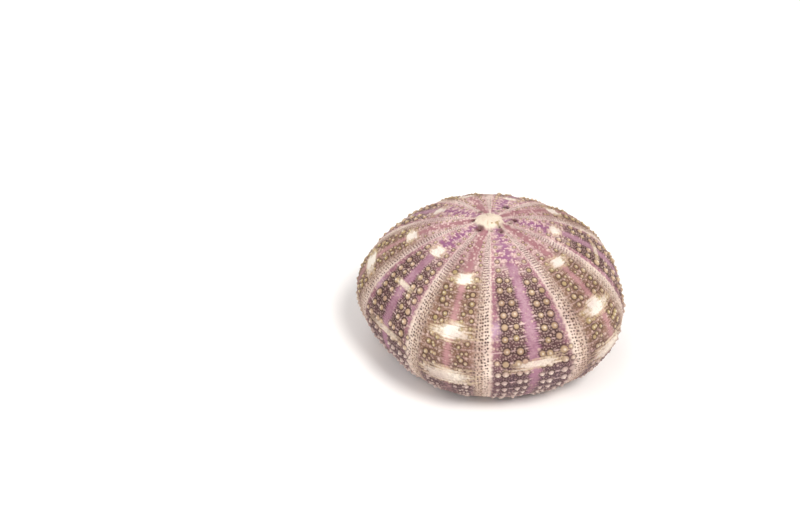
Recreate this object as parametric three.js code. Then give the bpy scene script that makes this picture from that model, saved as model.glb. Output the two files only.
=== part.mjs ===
// Sea urchin test: the empty, thin-walled shell of a large regular urchin.
//
// Millimetres, +Z up. The test stands on its oral side, with the mouth opening
// underneath, and the origin is on the surface it stands on, under the middle
// of its bounding box. One profile, an outer and an inner curve joined around
// the mouth's lip, is turned about the axis. Growth is then put in: a gently
// five-sided and slightly oval outline, ten puffed bulges around the mouth and
// a dome that leans a little.
import * as THREE from 'three';
import { mergeVertices } from 'three/addons/utils/BufferGeometryUtils.js';

// ---- driving dimensions ----------------------------------------------------
const TEST_DIAMETER = 90;
const AMBITUS_RADIUS = TEST_DIAMETER / 2;
const WALL = 1.8;

// Heights are shares of the ambitus radius, the widest part of the test.
const DOME_HEIGHT = 0.62 * AMBITUS_RADIUS;
const DOME_EXPONENT = 1.83;
const AMBITUS_HEIGHT = 0.465 * AMBITUS_RADIUS;
const UNDERSIDE_EXPONENT = 1.8;

// The oral side curls under to a resting ring, then rises into the mouth. The
// ring is cut flat by RESTING_FLAT_DEPTH, so each bulge stands on a small flat.
const RESTING_RING_RADIUS = 0.565 * AMBITUS_RADIUS;
const MOUTH_RADIUS = 0.34 * AMBITUS_RADIUS;
const MOUTH_LIP_HEIGHT = 0.15 * AMBITUS_RADIUS;
const RESTING_FLAT_DEPTH = 0.5;

// The apical disc, a low button of plates at the top.
const APICAL_DISC_RADIUS = 5.6;
const APICAL_DISC_RISE = 0.35;

// Five ambulacra form the corners of the rounded pentagon.
const SECTORS = 5;
const FIRST_AMBULACRUM_ANGLE = THREE.MathUtils.degToRad(-112.6);
const PENTAGON_DEPTH = 0.024;

// The outline is also a little longer one way, and the dome leans towards -X.
const OVAL_DEPTH = 0.033;
const OVAL_ANGLE = THREE.MathUtils.degToRad(-55);
const DOME_LEAN = THREE.MathUtils.degToRad(2.6);

// Ten grooves run into the mouth, one along each edge of each ambulacrum.
const ORAL_GROOVE_DEPTH = 1.3;
const ORAL_GROOVE_OUTER_RADIUS = 0.76 * AMBITUS_RADIUS;

// Resolution: the azimuth count is a multiple of the ten bulges.
const AZIMUTH_STEPS = 80;
const DOME_STEPS = 15;
const UNDERSIDE_STEPS = 8;
const LIP_CURL_STEPS = 5;
const LIP_ROUNDING_STEPS = 3;

// ---- profile ---------------------------------------------------------------

// A point on a superellipse quadrant, from its side (turn 0) to its end (turn 1).
function superellipse(turn, width, height, exponent) {
  const angle = turn * Math.PI / 2;
  return new THREE.Vector2(
    width * Math.cos(angle) ** (2 / exponent),
    height * Math.sin(angle) ** (2 / exponent),
  );
}

// How much the apical disc stands proud at a distance from the axis.
function apicalRise(radius) {
  const edge = THREE.MathUtils.smoothstep(radius, 0.8 * APICAL_DISC_RADIUS, 1.2 * APICAL_DISC_RADIUS);
  return APICAL_DISC_RISE * (1 - edge);
}

// The outside, from the apex over the ambitus and under to the mouth's lip.
function outerProfile() {
  const points = [];
  for (let step = 0; step <= DOME_STEPS; step++) {
    const point = superellipse(1 - step / DOME_STEPS, AMBITUS_RADIUS, DOME_HEIGHT, DOME_EXPONENT);
    points.push(new THREE.Vector2(point.x, AMBITUS_HEIGHT + point.y + apicalRise(point.x)));
  }
  const undersideWidth = AMBITUS_RADIUS - RESTING_RING_RADIUS;
  for (let step = 1; step <= UNDERSIDE_STEPS; step++) {
    const turn = step / UNDERSIDE_STEPS;
    const point = superellipse(turn, undersideWidth, AMBITUS_HEIGHT, UNDERSIDE_EXPONENT);
    points.push(new THREE.Vector2(RESTING_RING_RADIUS + point.x, AMBITUS_HEIGHT - point.y));
  }
  const curlWidth = RESTING_RING_RADIUS - MOUTH_RADIUS;
  for (let step = 1; step <= LIP_CURL_STEPS; step++) {
    const angle = step / LIP_CURL_STEPS * Math.PI / 2;
    const radius = RESTING_RING_RADIUS - curlWidth * Math.sin(angle);
    points.push(new THREE.Vector2(radius, MOUTH_LIP_HEIGHT * (1 - Math.cos(angle))));
  }
  points[0].x = 0;
  return points;
}

// The inside: the outside moved in by the wall, square to the curve.
function innerProfile(outer) {
  return outer.map((point, index) => {
    if (index === 0) {
      return new THREE.Vector2(0, point.y - WALL);
    }
    const before = outer[index - 1];
    const after = outer[index + 1] ?? new THREE.Vector2(point.x, point.y + 1);
    const along = after.clone().sub(before).normalize();
    return new THREE.Vector2(point.x + along.y * WALL, point.y - along.x * WALL);
  });
}

// The half circle that joins the two curves around the lip.
function lipRounding(outerEnd, innerEnd) {
  const middle = outerEnd.clone().add(innerEnd).multiplyScalar(0.5);
  const radius = outerEnd.distanceTo(innerEnd) / 2;
  const points = [];
  for (let step = 1; step < LIP_ROUNDING_STEPS; step++) {
    const angle = Math.PI * (1 - step / LIP_ROUNDING_STEPS);
    points.push(new THREE.Vector2(
      middle.x + radius * Math.cos(angle),
      middle.y + radius * Math.sin(angle),
    ));
  }
  return points;
}

// ---- departures from a turned shape ----------------------------------------

// Five times the angle from the first ambulacrum's centre line.
function pentagonPhase(azimuth) {
  return SECTORS * (azimuth - FIRST_AMBULACRUM_ANGLE);
}

// Radial scale that pushes the ambulacra out and stretches the oval.
function outlineScale(azimuth, radius) {
  const reach = Math.min(radius / AMBITUS_RADIUS, 1) ** 2;
  const pentagon = PENTAGON_DEPTH * Math.cos(pentagonPhase(azimuth));
  const oval = OVAL_DEPTH * Math.cos(2 * (azimuth - OVAL_ANGLE));
  return 1 + (pentagon + oval) * reach;
}

// Lift of the oral side: nothing on a bulge's crest, most in a groove.
function oralLift(azimuth, radius, height) {
  const crest = Math.abs(Math.cos(pentagonPhase(azimuth)));
  const inward = 1 - THREE.MathUtils.smoothstep(radius, MOUTH_RADIUS, ORAL_GROOVE_OUTER_RADIUS);
  const low = 1 - THREE.MathUtils.smoothstep(height, MOUTH_LIP_HEIGHT, AMBITUS_HEIGHT);
  return ORAL_GROOVE_DEPTH * (1 - crest) * inward * low;
}

// Turns a point about the ambitus level, fully above it and not at all at the base.
function lean(point) {
  const turn = DOME_LEAN * THREE.MathUtils.smoothstep(point.z, 0, AMBITUS_HEIGHT);
  const above = point.z - AMBITUS_HEIGHT;
  return new THREE.Vector3(
    point.x * Math.cos(turn) - above * Math.sin(turn),
    point.y,
    AMBITUS_HEIGHT + point.x * Math.sin(turn) + above * Math.cos(turn),
  );
}

function shapeByGrowth(geometry) {
  const position = geometry.getAttribute('position');
  const point = new THREE.Vector3();
  for (let index = 0; index < position.count; index++) {
    point.fromBufferAttribute(position, index);
    const azimuth = Math.atan2(point.y, point.x);
    const radius = Math.hypot(point.x, point.y);
    const scale = outlineScale(azimuth, radius);
    point.z += oralLift(azimuth, radius, point.z);
    point.x *= scale;
    point.y *= scale;
    const leaned = lean(point);
    position.setXYZ(index, leaned.x, leaned.y, Math.max(leaned.z - RESTING_FLAT_DEPTH, 0));
  }
}

// ---- the test --------------------------------------------------------------

function makeTest() {
  const outer = outerProfile();
  const inner = innerProfile(outer);
  const rounding = lipRounding(outer.at(-1), inner.at(-1));
  const profile = [...outer, ...rounding, ...inner.reverse()];

  // A lathe turns about Y, starts at -Y once it is stood up, and winds its
  // faces for a profile that climbs.
  const start = FIRST_AMBULACRUM_ANGLE + Math.PI / 2;
  let geometry = new THREE.LatheGeometry(profile.reverse(), AZIMUTH_STEPS, start);
  geometry.rotateX(Math.PI / 2);
  geometry.deleteAttribute('normal');
  geometry.deleteAttribute('uv');
  geometry = mergeVertices(geometry, 1e-3);
  shapeByGrowth(geometry);

  geometry.computeBoundingBox();
  const middle = geometry.boundingBox.getCenter(new THREE.Vector3());
  geometry.translate(-middle.x, -middle.y, 0);
  geometry.computeVertexNormals();

  const material = new THREE.MeshStandardMaterial({ color: 0x9c8579, roughness: 0.75, metalness: 0 });
  const mesh = new THREE.Mesh(geometry, material);
  mesh.name = 'sea_urchin_test';
  return mesh;
}

const model = new THREE.Group();
model.add(makeTest());

export default model;
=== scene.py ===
"""A sea urchin's empty test, seen from above its front on a pale floor.

The test is one continuous mesh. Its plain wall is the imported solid's own shape,
worked out again at a finer step, and the grown detail stands on the outside of
it: bosses, granules, rows of pores, plate seams and the plates around the apex.
The model is worked out in millimetres and turned into metres at the end.
"""
import math

import bmesh
import bpy
import numpy as np
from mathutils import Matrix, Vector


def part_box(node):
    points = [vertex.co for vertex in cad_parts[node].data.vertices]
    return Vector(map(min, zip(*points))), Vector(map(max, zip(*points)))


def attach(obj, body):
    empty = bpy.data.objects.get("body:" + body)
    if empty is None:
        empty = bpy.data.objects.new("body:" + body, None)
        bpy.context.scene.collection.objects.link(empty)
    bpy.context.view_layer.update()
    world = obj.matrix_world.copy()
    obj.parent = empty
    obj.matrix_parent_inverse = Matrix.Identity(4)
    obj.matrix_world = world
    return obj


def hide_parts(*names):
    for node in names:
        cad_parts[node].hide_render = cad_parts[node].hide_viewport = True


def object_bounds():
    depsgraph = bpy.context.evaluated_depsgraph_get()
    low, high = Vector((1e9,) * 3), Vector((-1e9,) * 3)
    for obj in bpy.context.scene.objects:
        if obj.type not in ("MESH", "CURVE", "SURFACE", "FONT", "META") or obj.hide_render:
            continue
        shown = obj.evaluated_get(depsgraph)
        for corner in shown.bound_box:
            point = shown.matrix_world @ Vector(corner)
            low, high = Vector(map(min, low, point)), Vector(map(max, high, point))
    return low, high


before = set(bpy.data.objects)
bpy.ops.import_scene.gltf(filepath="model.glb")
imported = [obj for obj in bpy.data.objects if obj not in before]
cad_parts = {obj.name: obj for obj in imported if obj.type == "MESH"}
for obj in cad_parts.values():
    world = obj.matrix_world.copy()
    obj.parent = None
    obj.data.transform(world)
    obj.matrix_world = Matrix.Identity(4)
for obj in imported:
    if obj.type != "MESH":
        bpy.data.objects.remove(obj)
CAD_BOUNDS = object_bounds()

NODE = "sea_urchin_test"
MILLIMETRE = 0.001
RANDOM_SEED = 1758

# ---- the wall, as the solid has it ----
AMBITUS_RADIUS = 45.0
WALL = 1.8
DOME_HEIGHT = 0.62 * AMBITUS_RADIUS
DOME_EXPONENT = 1.83
AMBITUS_HEIGHT = 0.465 * AMBITUS_RADIUS
UNDERSIDE_EXPONENT = 1.8
RESTING_RING_RADIUS = 0.565 * AMBITUS_RADIUS
MOUTH_RADIUS = 0.34 * AMBITUS_RADIUS
MOUTH_LIP_HEIGHT = 0.15 * AMBITUS_RADIUS
RESTING_FLAT_DEPTH = 0.5
SECTORS = 5
SECTOR_ANGLE = 2 * math.pi / SECTORS
FIRST_AMBULACRUM_ANGLE = math.radians(-112.6)
AMBULACRUM_ANGLES = FIRST_AMBULACRUM_ANGLE + SECTOR_ANGLE * np.arange(SECTORS)
PENTAGON_DEPTH = 0.024
OVAL_DEPTH = 0.033
OVAL_ANGLE = math.radians(-55)
DOME_LEAN = math.radians(2.6)
ORAL_GROOVE_DEPTH = 1.3
ORAL_GROOVE_OUTER_RADIUS = 0.76 * AMBITUS_RADIUS

# ---- mesh steps ----
OUTER_ROW_STEP = 0.18
INNER_ROW_STEP = 0.8
LIP_ROWS = 8
POLE_GAP = 0.3
PORE_ZONE_COLUMN_STEP = math.radians(0.17)
PLAIN_COLUMN_STEP = math.radians(0.27)
PROFILE_SAMPLES = 1500

# ---- the pattern, in degrees from a sector's centre line ----
PORE_ZONE_INNER = 12.0
PORE_ZONE_OUTER = 19.0
HALF_SECTOR = 36.0
INTERAMBULACRAL_SKEW = 0.9
AMBULACRAL_SKEW = 1.1


# ==== small helpers ====
def smoothstep(value, start, end):
    turn = np.clip((value - start) / (end - start), 0.0, 1.0)
    return turn * turn * (3.0 - 2.0 * turn)


def falling(value, start, end):
    return 1.0 - smoothstep(value, start, end)


def hump(value, centre, half_width, softness):
    """1 within half_width of centre, falling to 0 over softness."""
    return falling(np.abs(value - centre), half_width, half_width + softness)


def along_growth(arc, knots, values):
    """A size that changes from apex to mouth. Knots are in ambitus radii."""
    return np.interp(arc / AMBITUS_RADIUS, knots, values)


def blend(share, low, high):
    return low + (high - low) * share


def radii(*shares):
    """Millimetres, from shares of the ambitus radius."""
    return tuple(share * AMBITUS_RADIUS for share in shares)


def mound(share, power=2):
    """1 in the middle, falling to 0 where share is 1."""
    return np.clip(1 - share ** power, 0, None)


def ring(share, middle, width):
    return np.exp(-((share - middle) / width) ** 2)


# ==== the wall ====
def superellipse(turn, width, height, exponent):
    angle = turn * math.pi / 2
    across = np.clip(np.cos(angle), 0.0, 1.0) ** (2 / exponent)
    up = np.clip(np.sin(angle), 0.0, 1.0) ** (2 / exponent)
    return width * across, height * up


def outer_profile():
    """Radius, height and arc length from the apex to the mouth's lip."""
    turn = np.linspace(0.0, 1.0, PROFILE_SAMPLES)
    dome_r, dome_z = superellipse(1 - turn, AMBITUS_RADIUS, DOME_HEIGHT, DOME_EXPONENT)
    under_r, under_z = superellipse(
        turn[1:], AMBITUS_RADIUS - RESTING_RING_RADIUS, AMBITUS_HEIGHT, UNDERSIDE_EXPONENT
    )
    curl = turn[1:] * math.pi / 2
    curl_r = RESTING_RING_RADIUS - (RESTING_RING_RADIUS - MOUTH_RADIUS) * np.sin(curl)
    curl_z = MOUTH_LIP_HEIGHT * (1 - np.cos(curl))
    radius = np.concatenate([dome_r, RESTING_RING_RADIUS + under_r, curl_r])
    height = np.concatenate([AMBITUS_HEIGHT + dome_z, AMBITUS_HEIGHT - under_z, curl_z])
    arc = np.concatenate([[0.0], np.cumsum(np.hypot(np.diff(radius), np.diff(height)))])
    return radius, height, arc


PROFILE_RADIUS, PROFILE_HEIGHT, PROFILE_ARC = outer_profile()
LIP_ARC = PROFILE_ARC[-1]


def profile_at(arc):
    return np.interp(arc, PROFILE_ARC, PROFILE_RADIUS), np.interp(arc, PROFILE_ARC, PROFILE_HEIGHT)


def profile_inward(arc):
    """The profile's unit normal, pointing into the wall."""
    small_step = 0.1
    before_r, before_z = profile_at(np.maximum(arc - small_step, 0.0))
    after_r, after_z = profile_at(np.minimum(arc + small_step, LIP_ARC))
    along_r, along_z = after_r - before_r, after_z - before_z
    length = np.hypot(along_r, along_z)
    return along_z / length, -along_r / length


def wall_rows():
    """The rows' radius, height and arc from apex to lip to inner apex, and the outer count."""
    outer_arc = np.arange(POLE_GAP, LIP_ARC, OUTER_ROW_STEP)
    outer_r, outer_z = profile_at(outer_arc)

    half_turn = np.linspace(0.0, math.pi, LIP_ROWS + 2)[1:-1]
    lip_r = MOUTH_RADIUS + WALL / 2 * (1 - np.cos(half_turn))
    lip_z = MOUTH_LIP_HEIGHT + WALL / 2 * np.sin(half_turn)

    inner_arc = np.arange(POLE_GAP, LIP_ARC, INNER_ROW_STEP)[::-1]
    inner_r, inner_z = profile_at(inner_arc)
    inward_r, inward_z = profile_inward(inner_arc)
    inner_r = np.maximum(inner_r + WALL * inward_r, POLE_GAP / 2)
    inner_z = inner_z + WALL * inward_z

    radius = np.concatenate([outer_r, lip_r, inner_r])
    height = np.concatenate([outer_z, lip_z, inner_z])
    arc = np.concatenate([outer_arc, np.full(LIP_ROWS, LIP_ARC), inner_arc])
    return radius, height, arc, len(outer_arc)


def column_azimuths():
    """Azimuths around the test, closer together over the pore zones."""
    spans = (
        (-HALF_SECTOR, -PORE_ZONE_OUTER, PLAIN_COLUMN_STEP),
        (-PORE_ZONE_OUTER, -PORE_ZONE_INNER, PORE_ZONE_COLUMN_STEP),
        (-PORE_ZONE_INNER, PORE_ZONE_INNER, PLAIN_COLUMN_STEP),
        (PORE_ZONE_INNER, PORE_ZONE_OUTER, PORE_ZONE_COLUMN_STEP),
        (PORE_ZONE_OUTER, HALF_SECTOR, PLAIN_COLUMN_STEP),
    )
    sector = []
    for start, end, step in spans:
        count = round(math.radians(end - start) / step)
        sector.append(np.radians(np.linspace(start, end, count, endpoint=False)))
    one_sector = np.concatenate(sector)
    return (AMBULACRUM_ANGLES[:, None] + one_sector[None, :]).ravel()


def grown(radius, height, azimuth):
    """Bends the turned wall as growth did, and returns its points."""
    phase = SECTORS * (azimuth - FIRST_AMBULACRUM_ANGLE)
    reach = np.minimum(radius / AMBITUS_RADIUS, 1.0) ** 2
    outline = PENTAGON_DEPTH * np.cos(phase) + OVAL_DEPTH * np.cos(2 * (azimuth - OVAL_ANGLE))
    scaled = radius * (1 + outline * reach)

    crest = np.abs(np.cos(phase))
    inward = falling(radius, MOUTH_RADIUS, ORAL_GROOVE_OUTER_RADIUS)
    low = falling(height, MOUTH_LIP_HEIGHT, AMBITUS_HEIGHT)
    lifted = height + ORAL_GROOVE_DEPTH * (1 - crest) * inward * low

    x, y = scaled * np.cos(azimuth), scaled * np.sin(azimuth)
    turn = DOME_LEAN * smoothstep(lifted, 0.0, AMBITUS_HEIGHT)
    above = lifted - AMBITUS_HEIGHT
    leaned_x = x * np.cos(turn) - above * np.sin(turn)
    leaned_z = AMBITUS_HEIGHT + x * np.sin(turn) + above * np.cos(turn) - RESTING_FLAT_DEPTH
    return np.stack([leaned_x, y, np.maximum(leaned_z, 0.0)], axis=-1)


def outward_normals(points):
    down = np.gradient(points, axis=0)
    around = np.roll(points, -1, axis=1) - np.roll(points, 1, axis=1)
    normal = np.cross(down, around)
    return normal / np.linalg.norm(normal, axis=-1, keepdims=True)


# ==== plates ====
# Plates are small at the apex and the mouth and largest around the ambitus.
PLATE_KNOTS = (0.0, 0.25, 0.6, 1.35, 2.2)
PLATE_HEIGHTS = (0.050, 0.055, 0.085, 0.085, 0.055)
FIRST_BOSS_ROW_ARC = 0.68 * AMBITUS_RADIUS
AMBULACRAL_PLATES_PER_PLATE = 1.45


def plate_height(arc):
    return AMBITUS_RADIUS * along_growth(arc, PLATE_KNOTS, PLATE_HEIGHTS)


def plates_from_apex(arc):
    """How many plates lie between the apex and an arc length."""
    steps = np.diff(PROFILE_ARC) / plate_height(PROFILE_ARC[1:])
    count = np.concatenate([[0.0], np.cumsum(steps)])
    count = count - np.interp(FIRST_BOSS_ROW_ARC, PROFILE_ARC, count)
    return np.interp(arc, PROFILE_ARC, count)


def arc_of_plate(number):
    count = plates_from_apex(PROFILE_ARC)
    return np.interp(number, count, PROFILE_ARC)


# ==== relief ====
MARKS = (
    "boss", "tint", "nipple_and_highlight", "shaded_halo", "granule", "pore", "suture", "ambulacrum", "pore_zone",
    "zone_edge", "comb_gap_tint_and_shade", "stripe", "violet", "beside", "lilac", "growth_band", "apical", "stain",
    "upper", "low", "oral", "inside",
)
# The waves that make up a ragged edge: their lengths, bends and bends' swing.
WAVE_SHARES = (1.0, 0.53, 0.31)
WAVE_BENDS = 6
WAVE_SWING = 2.2


def sector_coordinates(azimuth):
    """Sector number, and degrees from the nearest ambulacrum's centre line."""
    turns = (azimuth - FIRST_AMBULACRUM_ANGLE) / SECTOR_ANGLE
    sector = np.round(turns)
    return sector.astype(int) % SECTORS, np.degrees((turns - sector) * SECTOR_ANGLE)


class Relief:
    """Height above the wall and the colour marks, painted shade and a painted highlight among them, on the
    grid of the outside.
    """

    def __init__(self, arc, azimuth):
        self.arc = arc
        self.down = arc[:, None]
        self.azimuth = azimuth
        self.radius = profile_at(arc)[0]
        self.unrolled = np.concatenate([azimuth - 2 * math.pi, azimuth, azimuth + 2 * math.pi])
        self.offset = self.degrees_from(0.0)
        self.from_ambulacrum = np.abs(self.offset)
        self.height = np.zeros((len(arc), len(azimuth)))
        self.marks = {name: np.zeros_like(self.height) for name in MARKS}

    def degrees_from(self, turned):
        """Degrees from the nearest of five lines, turned some degrees from the ambulacra."""
        return sector_coordinates(self.azimuth - math.radians(turned))[1][None, :]

    def ragged(self, rng, period, depth):
        """A smooth wander of some depth, from a few waves of random phase."""
        total = np.zeros_like(self.height)
        for share in WAVE_SHARES:
            phase_along, phase_around = rng.uniform(0, 2 * math.pi, 2)
            wave_along = 2 * math.pi * self.down / (period * share) + phase_along
            bend = np.sin(round(WAVE_BENDS / share) * self.azimuth[None, :] + phase_around)
            total += share * np.sin(wave_along + WAVE_SWING * bend)
        return depth * total / sum(WAVE_SHARES)

    def near(self, azimuth, arc, size, reach_share):
        """Grid points near a place: their indices, and distances as shares of its size."""
        reach = reach_share * size
        first_row, last_row = np.searchsorted(self.arc, (arc - reach, arc + reach))
        rows = np.arange(first_row, last_row)
        turn = min(reach / max(np.interp(arc, self.arc, self.radius), reach), math.pi)
        first, last = np.searchsorted(self.unrolled, (azimuth - turn, azimuth + turn))
        across = (self.unrolled[first:last] - azimuth)[None, :] * self.radius[rows][:, None]
        along = (self.arc[rows] - arc)[:, None]
        columns = np.arange(first, last) % len(self.azimuth)
        return np.ix_(rows, columns), np.hypot(across, along) / size

    def raise_to(self, where, height):
        self.height[where] = np.maximum(self.height[where], height)

    def mark(self, name, where, amount):
        self.marks[name][where] = np.maximum(self.marks[name][where], amount)

    def sample(self, name, azimuth, arc):
        """A mark's value at the grid points nearest to some places."""
        rows = np.clip(np.searchsorted(self.arc, arc), 0, len(self.arc) - 1)
        columns = np.searchsorted(self.unrolled, azimuth) % len(self.azimuth)
        return self.marks[name][rows, columns]


# In what follows a pair is where an edge starts and ends: degrees from a centre
# line, ARCS in millimetres from the apex, or shares of a low and a high strength.
# A HUMP is middle, half width and softness. WANDER, FRAY and FEATHER are how far
# a wave moves an edge.
ARC_WANDER = 2.0

# ---- zones ----
AMBULACRUM_EDGE = (PORE_ZONE_INNER - 0.4, PORE_ZONE_INNER + 1.6)
PORE_ZONE_START = (PORE_ZONE_INNER - 1.2, PORE_ZONE_INNER + 1.8)
PORE_ZONE_END = (PORE_ZONE_OUTER - 0.7, PORE_ZONE_OUTER + 0.6)
CREAM_EDGE_HUMP = (PORE_ZONE_OUTER - 1.3, 1.0, 1.6)
AMBULACRUM_FRAY = 1.4
PORE_ZONE_FRAY = 0.8
UPPER_ARCS = radii(0.38, 0.68)
LOW_ARCS = radii(1.12, 1.36)
ORAL_ARCS = radii(1.75, 2.15)


def paint_zones(relief, rng):
    """Ambulacra, pore zones, and the share of the young, low and oral parts."""
    wandering = relief.down + relief.ragged(rng, period=7.0, depth=0.55)
    fray = relief.ragged(rng, period=2.3, depth=0.45)
    marks = relief.marks
    marks["ambulacrum"] += falling(relief.from_ambulacrum + AMBULACRUM_FRAY * fray, *AMBULACRUM_EDGE)
    frayed = relief.from_ambulacrum + PORE_ZONE_FRAY * fray
    marks["pore_zone"] += smoothstep(frayed, *PORE_ZONE_START) * falling(frayed, *PORE_ZONE_END)
    marks["zone_edge"] += hump(relief.from_ambulacrum + fray, *CREAM_EDGE_HUMP)
    marks["upper"] += falling(wandering, *UPPER_ARCS)
    marks["low"] += smoothstep(wandering, *LOW_ARCS)
    marks["oral"] += smoothstep(wandering, *ORAL_ARCS)


# ---- stripes ----
# Half widths in degrees, at knots in ambitus radii, and how far their edges
# soften inwards and outwards.
MAUVE_KNOTS = (0.4, 0.6, 0.8, 1.15, 1.5)
MAUVE_HALF_WIDTHS = (4.0, 3.0, 2.5, 2.1, 1.2)
MAUVE_SOFTNESS = (1.0, 1.1)
PINK_KNOTS = (0.12, 0.25, 0.5, 0.7, 1.2, 1.5)
PINK_HALF_WIDTHS = (7.0, 5.6, 2.5, 1.5, 1.2, 0.8)
PINK_SOFTNESS = (0.8, 1.1)
VIOLET_KNOTS = (0.13, 0.3, 0.55)
VIOLET_HALF_WIDTHS = (5.2, 4.6, 2.8)
VIOLET_SOFTNESS = (2.6, 1.6)
VIOLET_FEATHER = 0.7
STRIPE_WANDER = 0.6
ZIGZAG_DEGREES = 0.9
MAUVE_START_ARCS = radii(0.30, 0.56)
STRIPE_FADE_ARCS = radii(1.12, 1.6)
# How strong a stripe is where it has faded, and where it hasn't.
MAUVE_FADE = (0.3, 1.0)
PINK_FADE = (0.1, 0.85)
VIOLET_ARC_HUMP = radii(0.27, 0.14, 0.12)
VIOLET_SEAM_EDGE = (0.1, 1.0)
VIOLET_SEAM_REACH = (9.0, 15.0)
VIOLET_SEAM_STRENGTH = 0.95
SEAM_FRAY = 0.05
SEAM_FEATHER = 0.25
SEAM_REACH_FRAY = 3.0


def stripe(distance, half_width, softness):
    inwards, outwards = softness
    return falling(distance, half_width - inwards, half_width + outwards)


def to_seam(plates, arc):
    """Millimetres along the arc to the nearest seam, from a count of plates."""
    return np.abs(plates % 1.0 - 0.5) * plate_height(arc)


def paint_stripes(relief, rng):
    """Bare stripes, mauve between the ambulacra and pink along them, violet near the apex."""
    arc = relief.down
    wander = relief.ragged(rng, period=7.0, depth=0.5)
    fray = relief.ragged(rng, period=2.3, depth=0.5)
    feather = relief.ragged(rng, period=0.8, depth=1.1)

    offset = relief.degrees_from(HALF_SECTOR + INTERAMBULACRAL_SKEW)
    plates = plates_from_apex(arc) + 0.5 * (offset > 0)
    zigzag = ZIGZAG_DEGREES * (2 * np.abs(plates % 1.0 - 0.5) - 0.5)
    from_middle = np.abs(offset) + zigzag
    half_width = along_growth(arc, MAUVE_KNOTS, MAUVE_HALF_WIDTHS)
    mauve = stripe(from_middle + STRIPE_WANDER * wander + feather, half_width, MAUVE_SOFTNESS)
    mauve = mauve * smoothstep(arc + ARC_WANDER * wander, *MAUVE_START_ARCS)

    from_ambulacrum = np.abs(relief.degrees_from(AMBULACRAL_SKEW))
    half_width = along_growth(arc, PINK_KNOTS, PINK_HALF_WIDTHS)
    pink = stripe(from_ambulacrum + STRIPE_WANDER * wander + fray + feather, half_width, PINK_SOFTNESS)
    fade = falling(arc, *STRIPE_FADE_ARCS)
    mauve = mauve * blend(fade, *MAUVE_FADE)
    relief.marks["stripe"] += np.maximum(mauve, pink * blend(fade, *PINK_FADE))

    half_width = along_growth(arc, VIOLET_KNOTS, VIOLET_HALF_WIDTHS)
    middle = stripe(from_middle + wander + fray + VIOLET_FEATHER * feather, half_width, VIOLET_SOFTNESS)
    seam = falling(to_seam(plates + SEAM_FRAY * fray, arc) + SEAM_FEATHER * feather, *VIOLET_SEAM_EDGE)
    seam = seam * falling(np.abs(offset) + SEAM_REACH_FRAY * fray, *VIOLET_SEAM_REACH)
    near_apex = hump(arc + ARC_WANDER * wander, *VIOLET_ARC_HUMP)
    relief.marks["violet"] += near_apex * np.maximum(middle, VIOLET_SEAM_STRENGTH * seam)


# ---- rosy and lilac pigment ----
BESIDE_HUMP = (PORE_ZONE_OUTER + 1.6, 0.8, 2.6)
BESIDE_WANDER = 0.9
BESIDE_FADE_ARCS = radii(0.9, 1.3)
BESIDE_FADING = 0.8
BESIDE_YOUNG_FADING = 0.4
LILAC_ARC_HUMP = (*radii(0.955, 0.02), 3.0)
LILAC_FEATHER = 0.5
LILAC_START = (PORE_ZONE_OUTER - 1.0, PORE_ZONE_OUTER + 0.4)
LILAC_END = (22.0, 25.0)
LILAC_STRENGTHS = (0.1, 0.8)
# Sector and side of the pore zone whose blotch is full strength.
FRONT_PORE_ZONE = (0, 1)


def paint_flush(relief, rng):
    """Rosy pigment beside each pore zone, with a lilac blotch at one plate."""
    wander = relief.ragged(rng, period=4.0, depth=0.9)
    feather = relief.ragged(rng, period=0.9, depth=0.6)
    beside = hump(relief.from_ambulacrum + BESIDE_WANDER * wander + feather, *BESIDE_HUMP)
    fade = 1 - BESIDE_FADING * smoothstep(relief.down + ARC_WANDER * wander, *BESIDE_FADE_ARCS)
    relief.marks["beside"] += beside * fade * (1 - BESIDE_YOUNG_FADING * relief.marks["upper"])

    strengths = rng.uniform(*LILAC_STRENGTHS, (SECTORS, 2))
    strengths[FRONT_PORE_ZONE] = 1.0
    sector, offset = sector_coordinates(relief.azimuth)
    strength = strengths[sector, (offset > 0).astype(int)][None, :]
    blotch = hump(relief.down + BESIDE_WANDER * wander + LILAC_FEATHER * feather, *LILAC_ARC_HUMP)
    inside = smoothstep(relief.from_ambulacrum + feather, *LILAC_START)
    outside = falling(relief.from_ambulacrum + wander, *LILAC_END)
    relief.marks["lilac"] += strength * blotch * inside * outside


# ---- plate seams ----
SEAM_EDGE = (0.076, 0.304)
SEAM_DEPTH = 0.07
# Millimetres for each degree away from where a seam is level.
SEAM_SLOPE = 0.045
SEAM_LEVEL_DEGREES = 24.0
LARGE_PLATES_START = PORE_ZONE_OUTER - 0.5
SMALL_SEAM_STRENGTH = 0.3
BESIDE_SEAM_FADING = 0.6


def carve_seams(relief):
    """Seams between the plates, closer together and fainter in an ambulacrum."""
    arc = relief.down
    right_half = relief.offset > 0
    sloped = arc + SEAM_SLOPE * (relief.from_ambulacrum - SEAM_LEVEL_DEGREES)
    large = falling(to_seam(plates_from_apex(sloped) + 0.5 * right_half, arc), *SEAM_EDGE)
    small_plates = plates_from_apex(arc) * AMBULACRAL_PLATES_PER_PLATE + 0.5 * right_half
    small = falling(to_seam(small_plates, arc) / AMBULACRAL_PLATES_PER_PLATE, *SEAM_EDGE)
    on_large_plates = relief.from_ambulacrum > LARGE_PLATES_START
    seams = np.where(on_large_plates, large, SMALL_SEAM_STRENGTH * small)
    seams = seams * (1 - relief.marks["apical"]) * (1 - relief.marks["stripe"]) ** 2
    seams = seams * (1 - BESIDE_SEAM_FADING * relief.marks["beside"])
    relief.marks["suture"] += seams
    relief.height -= SEAM_DEPTH * seams


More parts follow.
